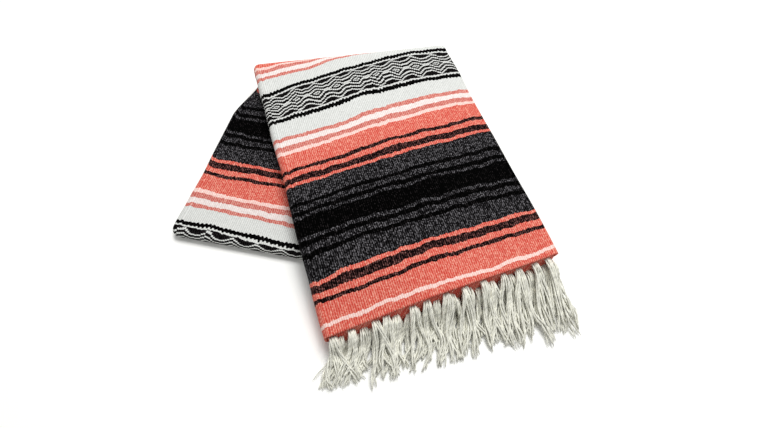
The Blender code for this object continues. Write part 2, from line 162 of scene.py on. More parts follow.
ROLL_RIGHT = CREASE_RIGHT + ROLL_AHEAD_RIGHT * TO_FRONT
ROLL_AXIS = (ROLL_RIGHT - ROLL_LEFT).normalized()
BEFORE_ROLL = Vector((ROLL_AXIS.y, -ROLL_AXIS.x))

# Divisions of the finished surfaces
TOP_CELLS = 124
UPPER_CELLS = 176
ROLL_CELLS = 38
LOWER_CELLS = 146
EDGE_CELLS = 18
RIGHT_EDGE_CELLS = 10
HIDDEN_CELLS = 40
HIDDEN_UPPER_CELLS = 60
HIDDEN_ROLL_CELLS = 24
HIDDEN_LOWER_CELLS = 48
HIDDEN_ROWS = HIDDEN_UPPER_CELLS + HIDDEN_ROLL_CELLS + 1 + HIDDEN_LOWER_CELLS
LEVELS_PER_LAYER = 6
HIDDEN_LEVELS = LAYERS * LEVELS_PER_LAYER

# The cloth sits a little under the skin of its solid, and the hidden layers a little deeper.
# The upper cloth goes round this share of the roll.
CLOTH_INSET = 0.0004
HIDDEN_INSET = 0.0048
ROLL_COVERED = 0.975

# Layered edges: the depth of the grooves between layers, how far the lowest layer steps forward
# at the fringed end, and how far the pattern shifts from level to level
LAYER_GROOVE = 0.0022
LAYER_STEPS = 0.011
LEVEL_SHIFT = 0.0004

# The laid cloth is uneven: how far it sinks, how far its left edge and the layers' edges wander,
# and how long these waves are
WAVE_HEIGHT = 0.0009
BROAD_WAVE = 0.060
NARROW_WAVE = 0.014
EDGE_UNEVEN = 0.0010
EDGE_WAVE = 0.030
LAYER_UNEVEN = 0.0007
LAYER_WAVE = 0.045

# Stripes of half a repeat, from the middle of the black band to the middle of the diamond band.
# Columns: where the stripe starts in mm, and the yarn that it is woven in.
STRIPES = (
    (0.0, "black"),
    (13.2, "charcoal"),
    (17.6, "black"),
    (25.0, "charcoal"),
    (33.0, "black"),
    (38.8, "charcoal"),
    (66.3, "coral"),
    (72.0, "plum"),
    (81.5, "coral"),
    (89.8, "plum"),
    (96.3, "coral"),
    (121.9, "blush"),
    (127.4, "rose"),
    (136.3, "cream"),
    (145.7, "rose"),
    (151.7, "white"),
    (179.3, "black"),
    (187.3, "white"),
)
HALF_REPEAT = 0.2144

# Next to the fringe the cloth ends in a strip of the coral that lies 20 mm before it
END_STRIP = 0.1274
END_STRIP_BACK = -0.020
DIAMOND_BAND = 0.1870

# Yarns.  Columns: name, main colour, colour of its flecks, share of flecks (from rare and dim to
# even).
YARNS = {
    "black": ("#020202", "#2E2A2B", 0.12),
    "charcoal": ("#151315", "#7E7C7F", 0.33),
    "plum": ("#1B0E10", "#8A6460", 0.30),
    "coral": ("#DA7164", "#EFB09F", 0.46),
    "rose": ("#D2837A", "#E6B3A8", 0.55),
    "blush": ("#F2D0C8", "#F8E3DD", 0.80),
    "cream": ("#EADEDA", "#F6EEEB", 0.80),
    "white": ("#DADBD8", "#E4E5E2", 0.90),
}

# The diamond band is read outwards from a diamond's centre.  Columns: where a ring starts in
# mm, and its yarn.  Beyond the last ring the zigzags leave small triangles.
DIAMOND_RINGS = (
    (0.0, "black"),
    (1.8, "white"),
    (3.6, "black"),
    (7.4, "white"),
    (9.9, "black"),
    (14.4, "white"),
    (16.9, "black"),
    (21.2, "white"),
    (23.4, "black"),
)
DIAMOND_SLOPE = 0.62
DIAMOND_HALF_WIDTH = 0.0117
TRIANGLE_TOP = 0.0238

# How far the weft lines waver, and step from rib to rib.  The black lines beside the diamonds are
# scalloped like a rope.  A diamond's centre lies this far from the left edge.
WAVER = 0.0084
RIB_STEP = 0.0014
ROPE_START = 0.176
ROPE_SCALLOP = 0.0008
DIAMOND_SHIFT = 0.0200
RING_FULL = 0.040

# Relief of the picks, where that of the ribs is 1, and the gamma put on the colour: painted shade
# in the grooves and painted light on the crests
PICK_RELIEF = 0.30
GROOVE_SHADE_GAMMA = 1.85
CREST_LIGHT_GAMMA = 0.92

# The two plies of a fringe yarn make a turn in this length
PLY_TURN = 0.005

# Fringe rows, each in place of its solid.  Columns: node, depth of its roots below the upper
# face, reach, how high its locks lie on those beneath them, how far its bundles stand to the
# right of those of the top row, in bundles.  The reach, as a share of the row's, and the lean of
# the tips change along the row.  The roots start this far inside the cut edge.
FRINGE_ROWS = (
    ("fringe_row_1", 0.0100, 0.093, 0.0100, 0.0),
    ("fringe_row_2", 0.0160, 0.083, 0.0060, 0.42),
    ("fringe_row_3", 0.0220, 0.073, 0.0030, -0.2),
    ("fringe_row_4", 0.0275, 0.062, 0.0004, 0.3),
)
REACH_AT_LEFT = 0.68
REACH_AT_RIGHT = 1.17
SPLAY_AT_LEFT = -0.018
SPLAY_AT_RIGHT = -0.017
BUNDLE_MARGIN = 0.012
ROOT_COVER = 0.0030
YARN_SIDES = 6
YARN_STEPS = 16

# Fringe: how far a bundle strays from its even place, in bundles, and how far a lock's root and tip
# stray.  Locks stand this far apart at their root, and are arched up to a share of their length.
BUNDLE_SHIFT = 0.28
BUNDLE_LEAN = 0.007
LOCK_LEAN = 0.003
LOCK_SHIFT = 0.0006
LOCK_SPACING = 0.0020
LOCK_RADIUS = 0.0020
ARCH_LENGTH = 0.30

# A stray single yarn: how far it leans aside, how much higher it lies, and its reach and thickness
# as shares of a lock's
STRAY_LEAN = 0.022
STRAY_REST = 0.004
STRAY_REACH = 0.70
STRAY_THICKNESS = 0.55

# Heights at which the yarns come to lie on the floor
FALLEN_HEIGHT = 0.0012
LOWEST_YARN = 0.0014
FULL_TURN = 2.0 * math.pi

# The camera was found from the stripes.  Its focal length and its shift are in pixels.
IMAGE_WIDTH = 760.0
FOCAL_LENGTH = 390.3
CAMERA_SHIFT = -2.0
CAMERA_ELEVATION = math.radians(62.94)
CAMERA_DISTANCE = 0.5818
SENSOR_WIDTH = 36.0

# The lamp is large, above and behind.  The floor lies a hair under the cloth.
LAMP_PLACE = Vector((0.40, 0.90, 2.20))
LAMP_SIZE = (1.3, 1.1)
FLOOR_SIZE = 4.0
FLOOR_HEIGHT = -0.0002


def linear_colour(hex_colour):
    """Linear colour of an sRGB hex value."""
    values = [int(hex_colour[start:start + 2], 16) / 255.0 for start in (1, 3, 5)]
    return [value / 12.92 if value <= 0.04045 else ((value + 0.055) / 1.055) ** 2.4
            for value in values]


class BlanketSizes(bpy.types.PropertyGroup):
    """Sizes that a user would change."""
    cloth_thickness: FloatProperty(
        name="Cloth thickness", description="Thickness of one layer of cloth",
        default=0.0024, min=0.001, max=0.003, unit="LENGTH")
    rib_spacing: FloatProperty(
        name="Rib spacing", description="Distance between the warp ribs, a little coarse to show",
        default=0.0028, min=0.001, max=0.006, unit="LENGTH")
    pick_spacing: FloatProperty(
        name="Pick spacing", description="Distance between the beaten-down weft picks",
        default=0.0018, min=0.0008, max=0.004, unit="LENGTH")
    ribs_per_diamond: IntProperty(
        name="Ribs per diamond", description="Warp ribs in one repeat of the diamond band",
        default=12, min=6, max=24)
    bundles: IntProperty(
        name="Bundles", description="Bundles of yarn in one row of the fringe",
        default=13, min=8, max=24)
    yarns_per_lock: IntProperty(
        name="Yarns per lock", description="Yarns twisted together in one lock of a bundle",
        default=4, min=2, max=8)
    yarn_radius: FloatProperty(
        name="Yarn radius", description="Radius of a fringe yarn at its root",
        default=0.00135, min=0.0003, max=0.002, unit="LENGTH")


class BlanketColours(bpy.types.PropertyGroup):
    """Colours and light that a user would change."""
    fringe: FloatVectorProperty(
        name="Fringe", description="Undyed cotton yarn of the fringe", subtype="COLOR",
        size=3, min=0.0, max=1.0, default=linear_colour("#F4F3E6"))
    floor: FloatVectorProperty(
        name="Floor", description="Pale studio floor", subtype="COLOR",
        size=3, min=0.0, max=1.0, default=linear_colour("#FEFEFB"))
    sky_light: FloatProperty(
        name="Sky light", description="Strength of the light from all round",
        default=0.42, min=0.0, max=3.0)
    key_light: FloatProperty(
        name="Key light", description="Power of the large soft lamp overhead",
        default=54.0, min=0.0, max=400.0, unit="POWER")


def smooth(value):
    """Ease from 0 to 1."""
    value = min(max(value, 0.0), 1.0)
    return value * value * (3.0 - 2.0 * value)


def between(left, right, share):
    """Value at a share of the way from the left one to the right one."""
    return left + share * (right - left)


def raised(plan, height=0.0):
    """A plan point or direction, brought to a height."""
    return Vector((plan.x, plan.y, height))


def table_slope(table, index, column):
    """Slope of a table's curve at one of its rows."""
    before = table[max(index - 1, 0)]
    after = table[min(index + 1, len(table) - 1)]
    return (after[column] - before[column]) / (after[0] - before[0])


def table_value(table, column, place):
    """Value of a column at a place, on a smooth curve through the table's rows."""
    place = min(max(place, table[0][0]), table[-1][0])
    index = 0
    while index < len(table) - 2 and place > table[index + 1][0]:
        index += 1
    start, end = table[index], table[index + 1]
    length = end[0] - start[0]
    part = (place - start[0]) / length
    rise = smooth(part)
    leave = part * (1.0 - part) ** 2 * length * table_slope(table, index, column)
    arrive = part ** 2 * (part - 1.0) * length * table_slope(table, index + 1, column)
    return start[column] + rise * (end[column] - start[column]) + leave + arrive


def crease_point(across):
    """Plan point where the upper run leaves the roll."""
    return ROLL_LEFT.lerp(ROLL_RIGHT, across / STRIP_WIDTH)


def crease_station(across):
    """Distance from the black band back to the end of the upper run."""
    left = CREASE_AT_LEFT - ROLL_AHEAD_LEFT
    right = CREASE_AT_RIGHT - ROLL_AHEAD_RIGHT
    return between(left, right, across / STRIP_WIDTH)


def lower_start(across):
    """Plan point where the lower run leaves the roll, and its distance from the black band."""
    share = across / STRIP_WIDTH
    even = CREASE_LEFT.lerp(CREASE_RIGHT, share)
    ahead = (ROLL_LEFT - even).dot(BEFORE_ROLL) / LOWER_TO_FRONT.dot(BEFORE_ROLL)
    plan = even + ahead * LOWER_TO_FRONT - LOWER_FAN * (1.0 - share) * LOWER_TO_RIGHT
    return plan, between(CREASE_AT_LEFT, CREASE_AT_RIGHT, share) + ahead


def edge_shift(across, station):
    """Shift to the right that the wandering edges give a point of the strip."""
    left = table_value(EDGE_WANDER, 1, station * 1000.0)
    right = table_value(EDGE_WANDER, 2, station * 1000.0)
    return between(left, right, across / STRIP_WIDTH) / 1000.0


def woven_station(across, station):
    """Station of the stripe that lies at a place, once the weft lines' bow is taken off."""
    quarters = min(max(4.0 * across / STRIP_WIDTH, 0.0), 3.999)
    column = int(quarters)
    first = table_value(WEFT_DRIFT, column + 1, station * 1000.0)
    second = table_value(WEFT_DRIFT, column + 2, station * 1000.0)
    return station - (first + smooth(quarters - column) * (second - first)) / 1000.0


def upper_plan(across, reach):
    """Plan point of the upper run."""
    shift = edge_shift(across, reach - crease_station(across))
    return crease_point(across) + reach * TO_FRONT + shift * TO_RIGHT


def lower_plan(across, reach):
    """Plan point of the lower run: it meets the upper run at the roll, and then goes straight."""
    straight = lower_start(across)[0]
    meeting = upper_plan(across, 0.0)
    plan = meeting.lerp(straight, smooth(reach / FAN_LENGTH)) + reach * LOWER_TO_FRONT
    near_corner = smooth((reach - lower_length(across)) / FLARE_LENGTH + 1.0)
    flare = CORNER_FLARE * near_corner * smooth(1.0 - across / FLARE_WIDTH)
    return plan - flare * LOWER_TO_RIGHT


def beyond_lower(plan):
    """Distances past the lower run's right edge and past its front."""
    past_right = (plan - CREASE_RIGHT).dot(LOWER_TO_RIGHT)
    past_front = (plan - LOWER_CORNER).dot(LOWER_TO_FRONT)
    return past_right, past_front


def underside(plan):
    """Height of the upper run's underside: on the lower stack, then down to the surface."""
    past_right, past_front = beyond_lower(plan)
    right_part = max(past_right + FALL_START, 0.0) / FALL_TO_RIGHT
    front_part = max(past_front + FALL_START, 0.0) / FALL_TO_FRONT
    thinned = THINNED_BY * smooth(1.0 + past_front / THINNING_LENGTH)
    return (LOWER_STACK - thinned) * (1.0 - smooth(math.hypot(right_part, front_part)))


def lower_top(plan):
    """Height of the lower run's upper side, pressed down near its right and front edges."""
    nearest = max(beyond_lower(plan))
    pressed = smooth((nearest + PRESS_START) / (PRESS_START - PRESS_END))
    return underside(plan) - SEAM_GAP - PRESSED_BY * pressed


def roll_radius(across):
    """Half height of the roll at the back."""
    return (underside(upper_plan(across, 0.0)) + UPPER_STACK) / 2.0


def roll_depth(across):
    """Depth of the roll, as a share of its half height."""
    return between(ROLL_DEPTH_LEFT, ROLL_DEPTH_RIGHT, across / STRIP_WIDTH)


def upper_faces(across, reach):
    """Outer and inner face of the stack on the upper run."""
    plan = upper_plan(across, reach)
    low = underside(plan)
    return raised(plan, low + UPPER_STACK), raised(plan, low)


def roll_faces(across, turn):
    """Outer and inner face of the stack in the roll at the back."""
    plan = upper_plan(across, 0.0)
    low = underside(plan)
    radius = (low + UPPER_STACK) / 2.0
    outer_plan = plan - roll_depth(across) * radius * math.sin(turn) * BEFORE_ROLL
    inner_plan = plan - CREASE_RADIUS * math.sin(turn) * BEFORE_ROLL
    outer = raised(outer_plan, radius + radius * math.cos(turn))
    inner = raised(inner_plan, low - CREASE_RADIUS + CREASE_RADIUS * math.cos(turn))
    return outer, inner


def lower_faces(across, reach):
    """Outer face, on the surface, and inner face, which shows, of the lower run."""
    plan = lower_plan(across, reach)
    return raised(plan), raised(plan, lower_top(plan))


def lower_length(across):
    """Length of the lower run from the crease to the start of its front fold."""
    return MIDDLE_FOLD - FOLD_SLANT * across - lower_start(across)[1] - NOSE_BULGE


def stack_faces(across, stretch, share):
    """Outer and inner face of the stack, at a share of the length of one stretch."""
    if stretch == "upper":
        return upper_faces(across, share * (crease_station(across) + FRINGED_END))
    if stretch == "roll":
        return roll_faces(across, share * ROLL_TURN)
    start = 2.0 * SEAM_GAP
    return lower_faces(across, start + share * (lower_length(across) - start))


def stretch_station(across, stretch, share, depth=0.0):
    """Station at a share of one stretch, at a depth from 0, the outer face, to 1, the inner."""
    crease = crease_station(across)
    if stretch == "upper":
        return share * (crease + FRINGED_END) - crease
    arc = math.pi * roll_radius(across) * (1.0 + roll_depth(across)) / 2.0 * (1.0 - depth)
    if stretch == "roll":
        return -crease - share * arc
    trailing = arc * (1.0 - smooth(share))
    return -lower_start(across)[1] - share * lower_length(across) - trailing


def sideways(across, stretch, share):
    """Level direction to the right, across the strip."""
    step = 0.004
    first = stack_faces(across - step, stretch, share)[0]
    second = stack_faces(across, stretch, share)[0]
    direction = second - first
    direction.z = 0.0
    return direction.normalized()


def rounded_edge(near, far, side, bulge, angle, inset):
    """Point on a rather crisp edge that turns from the near face to the far one."""
    half = (far - near).length / 2.0
    depth = (far - near).normalized()
    centre = (near + far) / 2.0
    down = math.copysign(abs(math.cos(angle)) ** EDGE_CRISPNESS, math.cos(angle))
    out = math.sin(angle) ** EDGE_CRISPNESS
    return centre - (half - inset) * down * depth + (bulge - inset) * out * side


def wave(across, station, scale, seed):
    """Soft unevenness of the cloth, from -1 to 1."""
    return noise.noise(Vector((across / scale, station / scale, seed)))


def soft_waves(across, station):
    """How far the laid cloth stands off its even shape, downwards only."""
    broad = wave(across, station, BROAD_WAVE, seed=3.0)
    narrow = wave(across * 0.4, station, NARROW_WAVE, seed=8.0)
    return -WAVE_HEIGHT * (0.5 - 0.38 * broad - 0.22 * narrow)


def edge_arc(near, far, bulge, angle):
    """Length of cloth round a rounded edge up to an angle."""
    mean_radius = ((far - near).length / 2.0 + bulge) / 2.0
    return mean_radius * angle


def outer_station(row):
    """Stretch and share for a row, from the fringed end back to the foot of the roll."""
    if row <= UPPER_CELLS:
        return "upper", 1.0 - row / UPPER_CELLS
    return "roll", ROLL_COVERED * (row - UPPER_CELLS) / ROLL_CELLS


def edge_place(across, stretch, share, angle, side, bulge, depth, wander):
    """Point and weave place on an edge that is rounded down to a share of the stack's depth."""
    near, far = stack_faces(across, stretch, share)
    foot = near.lerp(far, depth)
    station = stretch_station(across, stretch, share, angle / math.pi * depth)
    uneven = wander * wave(0.0, station, EDGE_WAVE, seed=5.0) * math.sin(angle)
    outwards = side * sideways(across, stretch, share)
    point = rounded_edge(near, foot, outwards, bulge + uneven, angle, CLOTH_INSET)
    sink = soft_waves(across, station) * max(math.cos(angle), 0.0)
    arc = side * edge_arc(near, foot, bulge, angle)
    return point + sink * (near - far).normalized(), across + arc, station, across


def upper_cloth_place(column, row):
    """Point and weave place of the cloth over the upper run and the roll."""
    stretch, share = outer_station(row)
    right_start = STRIP_WIDTH - RIGHT_BULGE
    if column < EDGE_CELLS:
        angle = EDGE_TURN * (1.0 - column / EDGE_CELLS)
        return edge_place(LEFT_BULGE, stretch, share, angle, -1.0, LEFT_BULGE, 1.0, EDGE_UNEVEN)
    top_column = column - EDGE_CELLS
    if top_column > TOP_CELLS:
        angle = EDGE_TURN * (top_column - TOP_CELLS) / RIGHT_EDGE_CELLS
        return edge_place(right_start, stretch, share, angle, 1.0, RIGHT_BULGE, 0.5, 0.0)
    across = between(LEFT_BULGE, right_start, top_column / TOP_CELLS)
    near, far = stack_faces(across, stretch, share)
    station = stretch_station(across, stretch, share)
    up = (near - far).normalized()
    return near + (soft_waves(across, station) - CLOTH_INSET) * up, across, station, across


def lower_cloth_place(column, row):
    """Point and weave place of the cloth over the lower run, its left edge and front fold."""
    from_left = max(EDGE_CELLS - column, 0)
    from_nose = max(row - LOWER_CELLS, 0)
    ring = max(from_left, from_nose)
    top_column = max(column - EDGE_CELLS, 0)
    across = between(LEFT_BULGE, STRIP_WIDTH - LAYER_GROOVE, top_column / TOP_CELLS)
    share = min(row, LOWER_CELLS) / LOWER_CELLS
    far, near = stack_faces(across, "lower", share)
    angle = EDGE_TURN * ring / EDGE_CELLS
    station = stretch_station(across, "lower", share, 1.0 - angle / math.pi)
    sink = soft_waves(across, station) * max(math.cos(angle), 0.0)
    if ring == 0:
        return near + Vector((0.0, 0.0, sink - CLOTH_INSET)), across, station, across
    bend = 0.0
    if from_left == 0:
        bend = math.pi / 2.0
    elif from_nose > 0:
        step = from_nose if from_left == ring else 2 * ring - from_left
        bend = math.pi / 2.0 * step / (2 * ring)
    to_left = -sideways(across, "lower", share)
    side = math.sin(bend) * raised(LOWER_TO_FRONT) + math.cos(bend) * to_left
    point = rounded_edge(near, far, side, LEFT_BULGE, angle, CLOTH_INSET)
    point.z += sink
    arc = edge_arc(near, far, LEFT_BULGE, angle)
    return point, across - math.cos(bend) * arc, station - math.sin(bend) * arc, across


def grid_points(bm, first_cells, second_cells):
    """Add a grid, and go through its points with their cell numbers both ways."""
    made = bmesh.ops.create_grid(bm, x_segments=first_cells, y_segments=second_cells, size=0.5)
    for vertex in made["verts"]:
        first = round((vertex.co.x + 0.5) * first_cells)
        second = round((vertex.co.y + 0.5) * second_cells)
        yield vertex, first, second


def write_places(layer, places):
    """Write the points' places on the cloth or yarn into a UV map."""
    for vertex, place in places.items():
        for loop in vertex.link_loops:
            loop[layer].uv = place


def cloth_grid(columns, rows, place):
    """A fine grid laid on the cloth's surface, with its weave places as its UV map."""
    bm = bmesh.new()
    weave = bm.loops.layers.uv.new("weave")
    woven = {}
    for vertex, column, row in grid_points(bm, columns, rows):
        point, across, station, bow_across = place(column, row)
        woven[vertex] = (across, woven_station(bow_across, station))
        vertex.co = point
    write_places(weave, woven)
    return bm


def new_object(bm, name, material):
    """Make an object at the origin from a finished mesh."""
    mesh = bpy.data.meshes.new(name)
    bm.to_mesh(mesh)
    bm.free()
    mesh.materials.append(material)
    made = bpy.data.objects.new(name, mesh)
    bpy.context.scene.collection.objects.link(made)
    return made


def finish_piece(bm, name, material, nodes):
    """Make the piece's object, and let it ride and stand for its solid."""
    piece = new_object(bm, name, material)
    piece.data.shade_smooth()
    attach(piece, "root")
    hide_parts(*nodes)
    return piece


def face_upwards(bm, top_point):
    """Turn a sheet's faces so that those at a point on its upper side look up."""
    bm.normal_update()
    upper = min(bm.faces, key=lambda face: (face.calc_center_median() - top_point).length)
    if upper.normal.z < 0.0:
        bmesh.ops.reverse_faces(bm, faces=bm.faces)


def cloth_piece(name, bm, top_point, node):
    """A sheet of cloth with its thickness."""
    face_upwards(bm, top_point)
    piece = finish_piece(bm, name, woven_cotton(name + "_woven_cotton"), [node])
    wall = piece.modifiers.new("cloth_thickness", "SOLIDIFY")
    wall.thickness = bpy.context.scene.blanket_sizes.cloth_thickness
    wall.offset = -1.0
    wall.use_even_offset = False
    return piece


def fill_inputs(tree, node, inputs):
    """Give a node's inputs their values or links, by name or in order."""
    if not isinstance(inputs, dict):
        inputs = dict(enumerate(inputs))
    for key, value in inputs.items():
        if isinstance(value, bpy.types.NodeSocket):
            tree.links.new(value, node.inputs[key])
        else:
            node.inputs[key].default_value = value


def add_node(tree, kind, inputs=(), output=0, **settings):
    """Add a shader node with its settings and inputs, and give one of its outputs."""
    node = tree.nodes.new("ShaderNode" + kind)
    for name, value in settings.items():
        setattr(node, name, value)
    fill_inputs(tree, node, inputs)
    return node.outputs[output]


def new_material(name):
    """An empty material, its node tree and shader, and what adds nodes to the tree."""
    material = bpy.data.materials.new(name)
    material.use_nodes = True
    tree = material.node_tree
    return material, tree, tree.nodes["Principled BSDF"], partial(add_node, tree)


def yarn_ramps(tree, place, rows, full):
    """Main colour, fleck colour and share of flecks, from a table of places and yarns."""
    colours = []
    for column in (0, 1):
        colours.append(add_node(tree, "ValToRGB", [place]))
        ramp = colours[column].node.color_ramp
        ramp.interpolation = "CONSTANT"
        for start, yarn in rows:
            stop = ramp.elements[0] if start == 0.0 else ramp.elements.new(start / 1000.0 / full)
            stop.color = (*linear_colour(YARNS[yarn][column]), YARNS[yarn][2])
        ramp.elements.remove(ramp.elements[-1])
    return colours[0], colours[1], colours[0].node.outputs["Alpha"]


def woven_cotton(name):
    """Weft-faced woven cotton: matte, ribbed along the warp, each rib flecked with its yarn."""
    sizes = bpy.context.scene.blanket_sizes
    rib_size = sizes.rib_spacing
    material, tree, shader, add = new_material(name)

    # Place on the cloth, and the rib and pick that it is in.  Picks of odd ribs lie half a step on.
    weave = add("UVMap", uv_map="weave")
    parts = add("SeparateXYZ", [weave]).node.outputs
    across, station = parts["X"], parts["Y"]
    rib_place = add("Math", (across, rib_size), operation="DIVIDE")
    rib = add("Math", [rib_place], operation="FLOOR")
    odd_rib = add("Math", (rib, 2.0), operation="FLOORED_MODULO")
    pick_even = add("Math", (station, sizes.pick_spacing), operation="DIVIDE")
    pick_place = add("Math", (odd_rib, 0.5, pick_even), operation="MULTIPLY_ADD")
    pick = add("Math", [pick_place], operation="FLOOR")
    stitch = add("CombineXYZ", (rib, pick))
    stitch_chance = add("TexWhiteNoise", {"Vector": stitch}, noise_dimensions="2D")
    rib_chance = add("TexWhiteNoise", {"W": rib}, noise_dimensions="1D")

    # The weft line that the place is on, and where that is in its half repeat of stripes
    slow = add("TexNoise", {"Vector": weave, "Scale": 30.0, "Detail": 3.0}, noise_dimensions="2D")
    waver = add("Math", (slow, WAVER, -0.5 * WAVER), operation="MULTIPLY_ADD")
    stepped = add("Math", (rib_chance, RIB_STEP, -0.5 * RIB_STEP), operation="MULTIPLY_ADD")
    offset = add("Math", (waver, stepped), operation="ADD")
    line = add("Math", (station, offset), operation="ADD")
    mirrored = add("Math", (line, HALF_REPEAT), operation="PINGPONG")

    # The rope's scallops are two ribs long
    twist = add("Math", (across, math.pi / rib_size), operation="MULTIPLY")
    twist_wave = add("Math", [twist], operation="SINE")
    near_rope = add("Math", (mirrored, ROPE_START), operation="GREATER_THAN")
    ripple = add("Math", (twist_wave, near_rope), operation="MULTIPLY")
    half_place = add("Math", (ripple, ROPE_SCALLOP, mirrored), operation="MULTIPLY_ADD")
    stripe_place = add("Math", (half_place, HALF_REPEAT), operation="DIVIDE")
    past_end_line = add("Math", (line, END_STRIP), operation="GREATER_THAN")
    plain_place = add("Math", (past_end_line, END_STRIP_BACK / HALF_REPEAT, stripe_place),
                      operation="MULTIPLY_ADD")
    stripe, stripe_fleck, stripe_share = yarn_ramps(tree, plain_place, STRIPES, HALF_REPEAT)

    # Diamonds: rings round each centre, which meet as zigzags, stepped by rib
    rib_middle = add("Math", (rib, rib_size, 0.5 * rib_size - DIAMOND_SHIFT), operation="MULTIPLY_ADD")
    from_centre = add("Math", (rib_middle, 0.5 * rib_size * sizes.ribs_per_diamond),
                      operation="PINGPONG")
    outwards = add("Math", (HALF_REPEAT, mirrored), operation="SUBTRACT")
    aside = add("Math", (from_centre, DIAMOND_HALF_WIDTH), operation="MINIMUM")
    ring_place = add("Math", (aside, DIAMOND_SLOPE, outwards), operation="MULTIPLY_ADD")
    ring_share = add("Math", (ring_place, RING_FULL), operation="DIVIDE")
    ring, ring_fleck, _ = yarn_ramps(tree, ring_share, DIAMOND_RINGS, RING_FULL)
    below_top = add("Math", (outwards, TRIANGLE_TOP), operation="LESS_THAN")
    in_band = add("Math", (half_place, DIAMOND_BAND), operation="GREATER_THAN")
    diamonds = add("Math", (in_band, below_top), operation="MULTIPLY")
    main = add("Mix", {"Factor": diamonds, "A": stripe, "B": ring}, "Result", data_type="RGBA")
    fleck = add("Mix", {"Factor": diamonds, "A": stripe_fleck, "B": ring_fleck},
                "Result", data_type="RGBA")

    # Flecks of lighter fibre, half a rib wide
    ply = add("Math", (rib_place, 2.0), operation="MULTIPLY")
    ply_number = add("Math", [ply], operation="FLOOR")
    tuft = add("CombineXYZ", (ply_number, pick))
    tuft_chance = add("TexWhiteNoise", {"Vector": tuft}, noise_dimensions="2D")
    rarity = add("Math", (1.0, stripe_share), operation="DIVIDE")
    flecked = add("Math", (tuft_chance, rarity), operation="POWER")
    heathered = add("Mix", {"Factor": flecked, "A": main, "B": fleck}, "Result", data_type="RGBA")

    # Painted shade: the colour is darkened in the grooves between ribs, and between the picks on a rib,
    # and painted light lifts it a little on the crests
    rib_rise = add("Math", (rib_place, 0.5), operation="PINGPONG")
    rib_round = add("MapRange", {"Value": rib_rise, "From Min": 0.05, "From Max": 0.42},
                    interpolation_type="SMOOTHSTEP")
    pick_rise = add("Math", (pick_place, 0.5), operation="PINGPONG")
    pick_round = add("MapRange", {"Value": pick_rise, "From Max": 0.5}, interpolation_type="SMOOTHSTEP")
    relief = add("Math", (pick_round, PICK_RELIEF, rib_round), operation="MULTIPLY_ADD")
    depth = add("MapRange", {"Value": relief, "From Max": 1.0 + PICK_RELIEF,
                             "To Min": GROOVE_SHADE_GAMMA, "To Max": CREST_LIGHT_GAMMA})
    groove_shaded_colour = add("Gamma", (heathered, depth))
    stitch_shade = add("MapRange", {"Value": stitch_chance, "To Min": 0.95, "To Max": 1.04})
    colour = add("VectorMath", {0: groove_shaded_colour, "Scale": stitch_shade}, operation="SCALE")

    # Fibres stand up a little, so the surface is matte with a soft bloom.  They are drawn coarser
    # than they are, at about 0.7 mm, so that they show.
    fuzz = add("TexNoise", {"Vector": weave, "Scale": 1400.0, "Detail": 2.0}, noise_dimensions="2D")
    height = add("Math", (fuzz, 0.35, relief), operation="MULTIPLY_ADD")
    bump = add("Bump", {"Strength": 0.8, "Distance": 0.0004, "Height": height})
    roughness = add("MapRange", {"Value": fuzz, "To Min": 0.88, "To Max": 1.0})
    fill_inputs(tree, shader, {"Base Color": colour, "Normal": bump, "Roughness": roughness,
                               "Specular IOR Level": 0.03})
    return material


def undyed_yarn(name):
    """Loosely spun undyed cotton: off-white, matte, with the plies' twist as soft ridges and as painted
    shade and light along the plies.
    """
    colours = bpy.context.scene.blanket_colours
    material, tree, shader, add = new_material(name)
    place = add("UVMap", uv_map="yarn")
    parts = add("SeparateXYZ", [place]).node.outputs
    along = add("Math", (parts["Y"], FULL_TURN / PLY_TURN), operation="MULTIPLY")
    turned = add("Math", (parts["X"], 2.0 * FULL_TURN, along), operation="MULTIPLY_ADD")
    plies = add("Math", [turned], operation="SINE")
    spot = add("TexCoord", output="Object")
    uneven = add("TexNoise", {"Vector": spot, "Scale": 160.0, "Detail": 3.0})
    # Painted shade and light: the plies' twist darkens the yarn between the plies and lightens their
    # crests, over a tone that is uneven at random
    light = add("Math", (plies, 0.12, uneven), operation="MULTIPLY_ADD")
    ply_shade_and_tone = add("MapRange", {"Value": light, "From Min": 0.2, "From Max": 0.8,
                            "To Min": 0.58, "To Max": 1.14})
    colour = add("VectorMath", {0: tuple(colours.fringe), "Scale": ply_shade_and_tone}, operation="SCALE")
    bump = add("Bump", {"Strength": 0.7, "Distance": 0.0003, "Height": plies})
    fill_inputs(tree, shader, {"Base Color": colour, "Normal": bump, "Roughness": 0.95,
                               "Specular IOR Level": 0.25, "Sheen Weight": 0.15})
    return material


def hidden_across(column):
    """Distance across the strip of a column of the hidden layers."""
    left = LEFT_BULGE + 2.0 * SEAM_GAP
    right = STRIP_WIDTH - RIGHT_BULGE - 2.0 * SEAM_GAP
    return between(left, right, column / HIDDEN_CELLS)


def hidden_station(row):
    """Stretch and share for a row of the hidden layers."""
    if row <= HIDDEN_UPPER_CELLS:
        return "upper", 1.0 - row / HIDDEN_UPPER_CELLS
    if row <= HIDDEN_UPPER_CELLS + HIDDEN_ROLL_CELLS:
        return "roll", (row - HIDDEN_UPPER_CELLS) / HIDDEN_ROLL_CELLS
    return "lower", (row - HIDDEN_UPPER_CELLS - HIDDEN_ROLL_CELLS - 1) / HIDDEN_LOWER_CELLS


def layer_round(level, station, seed):
    """How far a layered edge stands in at a level: each layer is rounded, and lies unevenly."""
    layer = min(level // LEVELS_PER_LAYER, LAYERS - 1)
    part = (level - layer * LEVELS_PER_LAYER) / LEVELS_PER_LAYER
    roundness = math.sqrt(max(1.0 - (2.0 * part - 1.0) ** 2, 0.0))
    uneven = LAYER_UNEVEN * wave(layer * 1.7, station, LAYER_WAVE, seed)
    return -LAYER_GROOVE * (1.0 - roundness) - LAYER_UNEVEN + uneven


